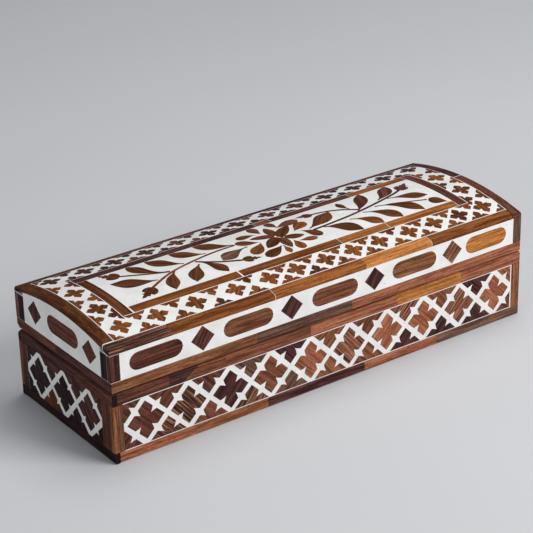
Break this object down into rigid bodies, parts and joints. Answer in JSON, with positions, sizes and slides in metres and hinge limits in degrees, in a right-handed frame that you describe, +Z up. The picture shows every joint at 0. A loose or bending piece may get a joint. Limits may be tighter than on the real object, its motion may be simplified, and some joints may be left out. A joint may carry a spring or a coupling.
{
  "type": "inlaid wooden box",
  "caption": "Long shallow wooden box with an arched hinged lid, faced with dark battens and panels of pale inlay with wooden tiles.",
  "frame": {"origin": "centre of the underside, at the surface the box stands on", "axes": "+X along the box to its right end seen from the front, +Y from the front face to the hinged back, +Z up"},
  "size_m": [0.305, 0.106, 0.0788],
  "materials": {
    "carcass_wood": "planed and oiled",
    "batten_walnut": "sanded and waxed",
    "post_walnut": "sanded and waxed",
    "bone_resin_inlay": "filled, sanded flush and waxed",
    "felt_lining": "short felt",
    "hinge_brass": "plain"
  },
  "bodies": {
    "base": {"base_front_wall": "carcass_wood", "base_back_wall": "carcass_wood", "base_left_wall": "carcass_wood", "base_right_wall": "carcass_wood", "base_bottom_board": "carcass_wood", "base_floor_lining": "felt_lining", "base_front_inlay": "bone_resin_inlay", "base_back_inlay": "bone_resin_inlay", "base_left_inlay": "bone_resin_inlay", "base_right_inlay": "bone_resin_inlay", "base_bottom_strip_front": "batten_walnut", "base_bottom_strip_back": "batten_walnut", "base_bottom_strip_left": "batten_walnut", "base_bottom_strip_right": "batten_walnut", "base_top_strip_front": "batten_walnut", "base_top_strip_back": "batten_walnut", "base_top_strip_left": "batten_walnut", "base_top_strip_right": "batten_walnut", "base_corner_post_front_left": "post_walnut", "base_corner_post_front_right": "post_walnut", "base_corner_post_back_left": "post_walnut", "base_corner_post_back_right": "post_walnut", "hinge_left_base_leaf": "hinge_brass", "hinge_left_pin": "hinge_brass", "hinge_left_base_screw_outer": "hinge_brass", "hinge_left_base_screw_inner": "hinge_brass", "hinge_right_base_leaf": "hinge_brass", "hinge_right_pin": "hinge_brass", "hinge_right_base_screw_outer": "hinge_brass", "hinge_right_base_screw_inner": "hinge_brass"},
    "lid": {"lid_front_wall": "carcass_wood", "lid_back_wall": "carcass_wood", "lid_left_wall": "carcass_wood", "lid_right_wall": "carcass_wood", "lid_top_board": "carcass_wood", "lid_front_inlay": "bone_resin_inlay", "lid_back_inlay": "bone_resin_inlay", "lid_left_inlay": "bone_resin_inlay", "lid_right_inlay": "bone_resin_inlay", "lid_bottom_strip_front": "batten_walnut", "lid_bottom_strip_back": "batten_walnut", "lid_bottom_strip_left": "batten_walnut", "lid_bottom_strip_right": "batten_walnut", "lid_corner_post_front_left": "post_walnut", "lid_corner_post_front_right": "post_walnut", "lid_corner_post_back_left": "post_walnut", "lid_corner_post_back_right": "post_walnut", "lid_upper_strip_front": "batten_walnut", "lid_upper_strip_back": "batten_walnut", "lid_arch_strip_left": "batten_walnut", "lid_arch_strip_right": "batten_walnut", "lid_border_inlay": "bone_resin_inlay", "lid_inner_frame": "batten_walnut", "lid_centre_inlay": "bone_resin_inlay", "hinge_left_lid_leaf": "hinge_brass", "hinge_left_lid_screw_outer": "hinge_brass", "hinge_left_lid_screw_inner": "hinge_brass", "hinge_right_lid_leaf": "hinge_brass", "hinge_right_lid_screw_outer": "hinge_brass", "hinge_right_lid_screw_inner": "hinge_brass"}
  },
  "joints": [
    {"name": "lid_hinge", "type": "hinge", "parent": "base", "child": "lid", "pos_m": [0, 0.0502, 0.0444], "axis": [-1, 0, 0], "range_deg": [0, 95]}
  ]
}
